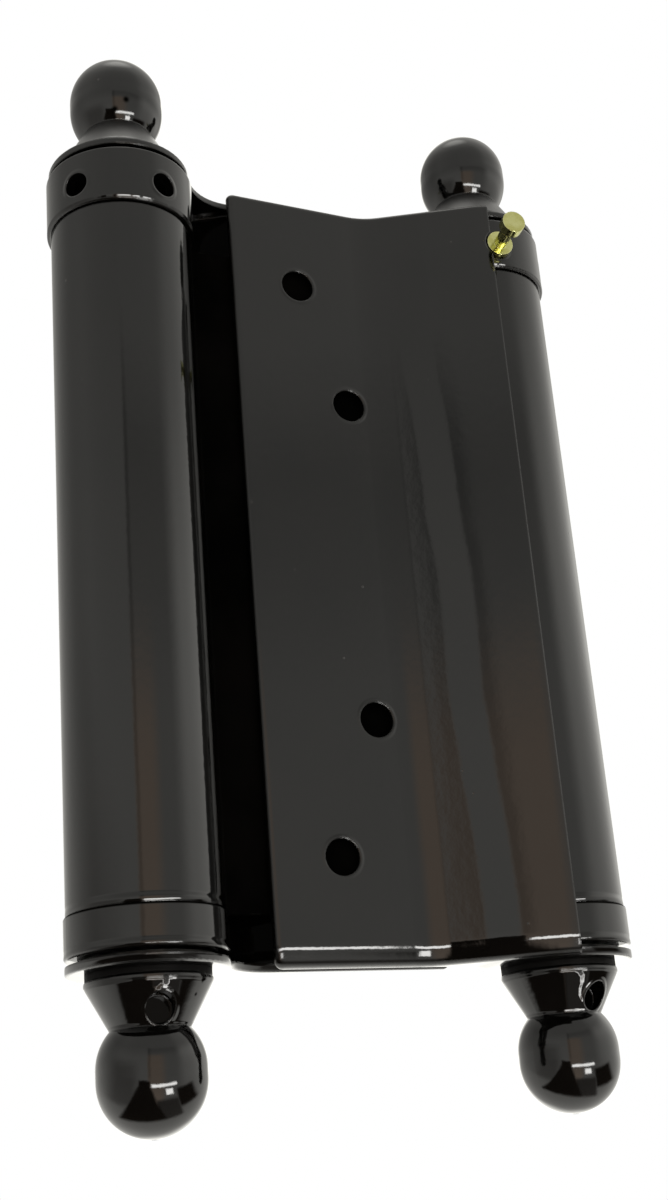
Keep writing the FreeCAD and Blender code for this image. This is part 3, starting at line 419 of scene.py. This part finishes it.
# outward runs along the bearing of the hole, across at right angles to it
def finialPaint(node, side, end, bearing, seed):
    look = finialLook
    material, tree, shader, normal, place = blackPaint(node, seed, look)
    turnCos, turnSin = math.cos(math.radians(bearing)), math.sin(math.radians(bearing))
    fromAxis = calc(tree, "SUBTRACT", place.x, side * barrelAxis)
    outward = calc(tree, "ADD", calc(tree, "MULTIPLY", fromAxis, turnCos),
                   calc(tree, "MULTIPLY", place.y, turnSin))
    across = calc(tree, "SUBTRACT", calc(tree, "MULTIPLY", place.y, turnCos),
                  calc(tree, "MULTIPLY", fromAxis, turnSin))
    away = flatGap(tree, across, calc(tree, "SUBTRACT", place.z, end * look["holeLevel"]))
    facing = remap(tree, outward, 0, look["facing"], 0, 1)
    bead = calc(tree, "MULTIPLY", beadMask(tree, away, look["beadRadius"], look["beadWidth"]), facing)
    normal = addBump(tree, bead, look["beadLift"], normal)
    # painted shade: no shine inside the tightening hole, nor on the black pits
    dark = calc(tree, "MULTIPLY", remap(tree, away, *look["holeEdge"], look["holeShade"], 0), facing)
    for spot, radius in finialPits.get(node.name, []):
        dark = calc(tree, "MAXIMUM", dark, spotMask(tree, place.point, spot, radius))
    paintedShadeDull(tree, shader, dark)
    if end < 0:
        below = calc(tree, "MULTIPLY", place.z, -1)
        pooled = calc(tree, "MAXIMUM", bandMask(tree, below, *look["rim"]),
                      bandMask(tree, below, *look["neck"]))
        for first, second, radius in finialRuns[node.name]:
            pooled = calc(tree, "MAXIMUM", pooled, runMask(tree, place.point, first, second, radius))
        normal = leanNormal(tree, normal, pooled, look["lean"])
    else:
        # painted reflection on the upper cone, left out inside the hole
        cone = bandMask(tree, place.z, *look["upperCone"])
        cone = calc(tree, "MULTIPLY", cone, calc(tree, "SUBTRACT", 1, dark))
        paintedSheenCone(tree, shader, cone, look["conePaintedSheen"], look["coneRough"])
    finishPaint(node, material, tree, shader, normal)


for name, plan in finialPlans.items():
    finialPaint(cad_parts[name], **plan)
print("stage: finials painted")


# tension collars: bead round each bar hole, the holes folded onto one by wrapping the bearing
collarLook = {"peel": 0.000012, "wave": 0.00004, "edge": 0.0003, "radius": 0.0116,
              "holeCount": 5, "holeLevel": 0.0557, "holeEdge": (0.0019, 0.00205),
              "beadRadius": 0.0022, "beadWidth": 0.0006, "beadLift": 0.00008,
              "patchGrain": (1300, 2), "patchSpan": (0.35, 0.5), "patchLeast": 0.6,
              "lowerRim": (0.0521, 0.0525), "lean": -0.6}
collarPlans = {"left_tension_collar": {"side": -1, "bearing": 72.5, "seed": 2.9},
               "right_tension_collar": {"side": 1, "bearing": -99.0, "seed": 7.4}}


def collarPaint(node, side, bearing, seed):
    look = collarLook
    material, tree, shader, normal, place = blackPaint(node, seed, look)
    turn = calc(tree, "ARCTAN2", place.y, calc(tree, "SUBTRACT", place.x, side * barrelAxis))
    half = math.pi / look["holeCount"]
    folded = calc(tree, "WRAP", calc(tree, "SUBTRACT", turn, math.radians(bearing)), half, -half)
    across = calc(tree, "MULTIPLY", folded, look["radius"])
    away = flatGap(tree, across, calc(tree, "SUBTRACT", place.z, look["holeLevel"]))
    bead = beadMask(tree, away, look["beadRadius"], look["beadWidth"])
    normal = addBump(tree, bead, look["beadLift"], normal)
    # painted shade: no shine inside the bar holes
    paintedShadeDull(tree, shader, remap(tree, away, *look["holeEdge"], 1, 0))
    specks = noise(tree, place.point, *look["patchGrain"], seed + 4)
    patchy = remap(tree, specks, *look["patchSpan"], look["patchLeast"], 1)
    rim = calc(tree, "MULTIPLY", bandMask(tree, place.z, *look["lowerRim"]), patchy)
    normal = leanNormal(tree, normal, rim, look["lean"])
    finishPaint(node, material, tree, shader, normal)


for name, plan in collarPlans.items():
    collarPaint(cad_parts[name], **plan)


# lower collars: thick paint along the lower rim, and painted shade under the barrel: no shine in the gap
# there
anchorLook = {"peel": 0.000012, "wave": 0.00004, "edge": 0.0003, "gap": (-0.0560, -0.0557),
              "lowerRim": -0.0607, "rimWidth": 0.0008, "rimLift": 0.00014}
anchorSeeds = {"left_anchor_collar": 9.1, "right_anchor_collar": 9.9}


def anchorPaint(node, seed):
    look = anchorLook
    material, tree, shader, normal, place = blackPaint(node, seed, look)
    # painted shade in the gap under the barrel
    paintedShadeDull(tree, shader, remap(tree, place.z, *look["gap"], 0, 1))
    normal = fatRim(tree, place.z, look["lowerRim"], look["rimWidth"], look["rimLift"], normal)
    finishPaint(node, material, tree, shader, normal)


for name, seed in anchorSeeds.items():
    anchorPaint(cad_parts[name], seed)
print("stage: collars painted")


# seat rings: almost no shine, painted shade in the gap between ear and finial
ringLook = {"peel": 0.00002, "wave": 0.00009, "edge": 0.0003, "shine": 0.08, "grain": (500, 4),
            "rough": (0.5, 0.75), "seedStep": 1.37}


def ringShadePaint(node, seed):
    look = ringLook
    material, tree, shader, normal, place = blackPaint(node, seed, look)
    shader.inputs["Specular IOR Level"].default_value = look["shine"]
    rough = cloudy(tree, place.point, look["grain"], seed + 2, *look["rough"])
    tree.links.new(rough, shader.inputs["Roughness"])
    finishPaint(node, material, tree, shader, normal)


# turned metal: fine rings across the turning axis, cloudy colour, brighter edges
metalLook = {"edge": 0.0002, "edgeShow": 0.6, "tintGrain": (500, 4), "roughGrain": (700, 4),
             "roughSpread": (0.7, 1.4), "lineGrain": (1100, 2), "lineLift": 0.00001}
brassLook = {"dark": (0.47, 0.46, 0.15), "light": (0.6, 0.6, 0.27), "edge": (0.74, 0.74, 0.42),
             "rough": 0.17, "stretch": (0.3, 4, 0.3)}
# washers near black: painted shade in the gap between collar and ear
washerShadeLook = {"dark": (0.01, 0.01, 0.01), "light": (0.03, 0.029, 0.027), "edge": (0.06, 0.058, 0.055),
              "rough": 0.4, "stretch": (0.2, 0.2, 5)}
steelLook = {"dark": (0.26, 0.25, 0.23), "light": (0.46, 0.44, 0.41), "edge": (0.62, 0.6, 0.57),
             "rough": 0.3, "stretch": (0.2, 0.2, 5)}


def turnedMetal(node, seed, look):
    metal = metalLook
    material, tree, shader = startMaterial(node.name + "Metal")
    place = ownPlace(tree)
    edgeNormal, edgeMask = softEdges(tree, metal["edge"])
    tint = cloudy(tree, place.point, metal["tintGrain"], seed, 0, 1)
    colour = mixColour(tree, tint, look["dark"], look["light"])
    colour = mixColour(tree, calc(tree, "MULTIPLY", edgeMask, metal["edgeShow"]), colour, look["edge"])
    tree.links.new(colour, shader.inputs["Base Color"])
    least, most = (look["rough"] * share for share in metal["roughSpread"])
    rough = cloudy(tree, place.point, metal["roughGrain"], seed + 2, least, most)
    tree.links.new(rough, shader.inputs["Roughness"])
    lines = noise(tree, place.point, *metal["lineGrain"], seed + 4, look["stretch"])
    normal = addBump(tree, lines, metal["lineLift"], edgeNormal)
    shader.inputs["Metallic"].default_value = 1
    finishPaint(node, material, tree, shader, normal)


for number, (name, node) in enumerate(sorted(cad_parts.items())):
    if name.endswith("_seat_ring"):
        ringShadePaint(node, number * ringLook["seedStep"])
    elif name.endswith("_pin"):
        turnedMetal(node, number, brassLook)
    elif name.endswith("_washer"):
        turnedMetal(node, number, washerShadeLook)
    elif name.endswith(("_spindle", "_spring")):
        turnedMetal(node, number, steelLook)


# springs: each is hidden and a copy of its mesh under a new name takes its place, with its place baked into
# the mesh
springPlans = {"left_spring": ("leftSpringTwist", "jamb_leaf"),
               "right_spring": ("rightSpringTwist", "door_leaf")}


def twistSpring(name, twistName, leaf):
    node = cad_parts[name]
    twist = bpy.data.objects.new(twistName, node.data.copy())
    scene.collection.objects.link(twist)
    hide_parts(name)
    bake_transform(twist)


for name, plan in springPlans.items():
    twistSpring(name, *plan)
print("stage: rings, pins, washers and springs done")


# studio room: a sphere round the hinge whose light is worked out per point
# side is the bearing from the camera's own, rise the height above the horizon, both in degrees
# each zone has a level for every rise; a window is where it starts and ends, and how soft each end is
roomLook = {"radius": 0.6, "step": 1.0, "pole": 89.9, "bearing": -116,
            "rise": (-90, -20, 5, 10, 15, 20, 26, 32, 60, 75, 84, 90),
            "left": (1.4, 1.1, 0.97, 0.97, 0.92, 0.85, 0.78, 0.72, 0.7, 0.9, 2.2, 2.2),
            "front": (1.4, 0.9, 0.84, 0.83, 0.79, 0.67, 0.58, 0.74, 0.7, 0.9, 2.2, 2.2),
            "right": (1.4, 1.2, 1.38, 1.43, 1.5, 1.45, 1.2, 0.95, 0.9, 0.9, 2.2, 2.2),
            "back": (1.4, 1.2, 0.75, 0.7, 0.65, 0.6, 0.55, 0.5, 0.6, 0.9, 2.2, 2.2),
            "leftWindow": (-75, -3.5, 20, 2.5), "frontWindow": (-3.5, 66, 2.5, 14),
            "rightWindow": (66, 148, 14, 15),
            "darkStripe": 0.3, "stripeSide": (-3, 2, 1.5, 2), "stripeRise": (-10, 30, 5, 4),
            "backStrip": 1.3, "stripSide": (162, 190, 9, 1), "stripRise": (-45, 60, 12, 15),
            "warm": (1.0, 0.985, 0.93), "brown": (1.4, 1.12, 0.9),
            "brownSide": (-3.5, 28, 2.5, 10), "brownFade": (11, 20)}


def smoothStep(low, high, value):
    share = np.clip((value - low) / (high - low), 0, 1)
    return share * share * (3 - 2 * share)


def window(value, low, high, softLow, softHigh):
    starts = smoothStep(low - softLow, low + softLow, value)
    return starts * (1 - smoothStep(high - softHigh, high + softHigh, value))


def roomLight(points):
    look = roomLook
    unit = points / np.linalg.norm(points, axis=1, keepdims=True)
    side = (np.degrees(np.arctan2(unit[:, 1], unit[:, 0])) - look["bearing"] + 180) % 360 - 180
    rise = np.degrees(np.arcsin(np.clip(unit[:, 2], -1, 1)))
    zones = {key: np.interp(rise, look["rise"], look[key]) for key in ("left", "front", "right", "back")}
    leftPart = window(side, *look["leftWindow"])
    frontPart = window(side, *look["frontWindow"])
    rightPart = window(side, *look["rightWindow"])
    backPart = 1 - leftPart - frontPart - rightPart
    level = zones["left"] * leftPart + zones["front"] * frontPart
    level = level + zones["right"] * rightPart + zones["back"] * backPart
    stripe = window(side, *look["stripeSide"]) * window(rise, *look["stripeRise"])
    level = level * (1 - look["darkStripe"] * stripe)
    strip = window(np.abs(side), *look["stripSide"]) * window(rise, *look["stripRise"])
    level = level + look["backStrip"] * strip
    brownPart = (window(side, *look["brownSide"]) * (1 - smoothStep(*look["brownFade"], rise)))[:, None]
    tint = np.array(look["warm"]) * (1 - brownPart) + np.array(look["brown"]) * brownPart
    return np.concatenate([tint * level[:, None], np.ones((len(side), 1))], 1)


# front of the light tent, near the camera: a dark shape, paler shades beside it and two bright gaps
# u and w say where a ball mirrors a point, to the right and downwards: the half vector with the view
# each patch has a window in u and one in w; the flare widens to both sides on its way down
frontLook = {"radius": 0.55, "u": (-0.75, 0.8, 220), "w": (-0.2, 0.76, 160), "turn": (-0.03, -0.1),
             "dark": (0.05, 0.037, 0.028), "grey": (0.26, 0.24, 0.22), "lamp": (18, 17.8, 17.3),
             "block": ((-0.17, 0.02, 0.012, 0.012), (0.04, 0.14, 0.012, 0.02)),
             "lobe": ((0.44, 0.72, 0.03, 0.04), (0.2, 0.53, 0.03, 0.04)),
             "column": ((0.1, 0.45, 0.04, 0.03), (0.34, 0.66, 0.04, 0.03)),
             "shade": ((-0.62, -0.2, 0.12, 0.1), (-0.02, 0.45, 0.12, 0.06)), "shadeCover": 0.6,
             "bar": ((0.04, 0.46, 0.008, 0.008), (0.09, 0.14, 0.008, 0.008)),
             "square": ((0.27, 0.385, 0.008, 0.008), (0.18, 0.275, 0.008, 0.008))}
flareLook = {"left": -0.17, "right": 0.02, "widenLeft": 0.24, "widenRight": 0.2, "soft": 0.03,
             "top": 0.1, "length": 0.54, "down": (0.1, 0.66, 0.02, 0.03)}


def patch(u, w, windows):
    return window(u, *windows[0]) * window(w, *windows[1])


def flare(u, w):
    look = flareLook
    spread = np.clip((w - look["top"]) / look["length"], 0, 1)
    pastLeft = smoothStep(-look["soft"], look["soft"], u - look["left"] + look["widenLeft"] * spread)
    pastRight = smoothStep(-look["soft"], look["soft"], u - look["right"] - look["widenRight"] * spread)
    return pastLeft * (1 - pastRight) * window(w, *look["down"])


def frontLight(u, w):
    look = frontLook
    dark = np.maximum(np.maximum(patch(u, w, look["block"]), flare(u, w)), patch(u, w, look["lobe"]))[:, None]
    lamp = np.maximum(patch(u, w, look["bar"]), patch(u, w, look["square"]))[:, None]
    pale = np.maximum(patch(u, w, look["column"]), look["shadeCover"] * patch(u, w, look["shade"]))[:, None]
    colour = np.array(look["grey"]) * (1 - dark) + np.array(look["dark"]) * dark
    colour = colour * (1 - lamp) + np.array(look["lamp"]) * lamp
    cover = np.maximum(np.maximum(dark, lamp), pale)
    return np.concatenate([colour, cover], 1)


# grid of points as a glowing shell, seen only in mirror reflections; the fourth channel is how solid it is
def glowShell(name, points, faces, light):
    mesh = bpy.data.meshes.new(name)
    mesh.from_pydata(points.tolist(), [], faces.tolist())
    layer = mesh.attributes.new("shellLight", "FLOAT_COLOR", "POINT")
    layer.data.foreach_set("color", light.ravel())
    material = bpy.data.materials.new(name + "Glow")
    material.use_nodes = True
    tree = material.node_tree
    tree.nodes.clear()
    source = newNode(tree, "ShaderNodeAttribute", {"attribute_name": "shellLight"})
    clear = newNode(tree, "ShaderNodeBsdfTransparent")
    glow = newNode(tree, "ShaderNodeEmission")
    blend = newNode(tree, "ShaderNodeMixShader")
    output = newNode(tree, "ShaderNodeOutputMaterial")
    tree.links.new(source.outputs["Color"], glow.inputs["Color"])
    tree.links.new(source.outputs["Alpha"], blend.inputs[0])
    tree.links.new(clear.outputs[0], blend.inputs[1])
    tree.links.new(glow.outputs[0], blend.inputs[2])
    tree.links.new(blend.outputs[0], output.inputs["Surface"])
    mesh.materials.append(material)
    shell = bpy.data.objects.new(name, mesh)
    scene.collection.objects.link(shell)
    shell.visible_camera = False
    shell.visible_diffuse = False
    shell.visible_shadow = False


def gridFaces(rows, columns, closed):
    columnCount = columns if closed else columns - 1
    row, column = np.meshgrid(np.arange(rows - 1), np.arange(columnCount), indexing="ij")
    following = (column + 1) % columns
    return np.stack([row * columns + column, row * columns + following,
                     (row + 1) * columns + following, (row + 1) * columns + column], -1).reshape(-1, 4)


def buildRoom():
    look = roomLook
    columns = int(360 / look["step"])
    rows = int(180 / look["step"]) + 1
    bearings = np.radians(np.arange(columns) * look["step"])
    heights = np.radians(np.linspace(-look["pole"], look["pole"], rows))
    bearing, height = np.meshgrid(bearings, heights)
    unit = np.stack([np.cos(height) * np.cos(bearing), np.cos(height) * np.sin(bearing), np.sin(height)], -1)
    points = unit.reshape(-1, 3) * look["radius"]
    glowShell("studioRoom", points, gridFaces(rows, columns, True), roomLight(points))


# a ball's normal n = (u, w, rest) sends the view to 2 (n . view) n - view
def buildFront():
    look = frontLook
    u, w = np.meshgrid(np.linspace(*look["u"]), np.linspace(*look["w"]))
    u, w = u.ravel(), w.ravel()
    light = frontLight(u, w)
    u, w = u + look["turn"][0], w + look["turn"][1]
    rest = np.sqrt(np.maximum(1 - u * u - w * w, 0))
    seen = np.stack([2 * rest * u, 2 * rest * w, -(2 * rest * rest - 1)], 1)  # right, down, forward
    points = look["radius"] * seen @ viewRows
    glowShell("studioFront", points, gridFaces(look["w"][2], look["u"][2], False), light)


buildFront()
buildRoom()

# pale floor that fades into the white backdrop with distance, so no edge shows
floorLook = {"level": -1.2, "half": 3, "colour": (0.86, 0.86, 0.85), "fade": (0.2, 2.4), "rough": 0.6}


def buildFloor():
    look = floorLook
    half, level = look["half"], look["level"]
    mesh = bpy.data.meshes.new("paleFloor")
    corners = [(-half, -half, level), (half, -half, level), (half, half, level), (-half, half, level)]
    mesh.from_pydata(corners, [], [(0, 1, 2, 3)])
    material, tree, shader = startMaterial("paleFloor")
    place = ownPlace(tree)
    fade = remap(tree, flatGap(tree, place.x, place.y), *look["fade"], 0, 1)
    tree.links.new(mixColour(tree, fade, look["colour"], (0.0, 0.0, 0.0)), shader.inputs["Base Color"])
    tree.links.new(fade, shader.inputs["Emission Strength"])
    shader.inputs["Emission Color"].default_value = (1, 1, 1, 1)
    shader.inputs["Specular IOR Level"].default_value = 0
    shader.inputs["Roughness"].default_value = look["rough"]
    mesh.materials.append(material)
    floor = bpy.data.objects.new("paleFloor", mesh)
    scene.collection.objects.link(floor)
    floor.visible_glossy = False


buildFloor()

world = bpy.data.worlds.new("whiteStudio")
world.use_nodes = True
scene.world = world
world.node_tree.nodes["Background"].inputs["Color"].default_value = (1, 1, 1, 1)
world.node_tree.nodes["Background"].inputs["Strength"].default_value = 1
print("stage: studio ready")
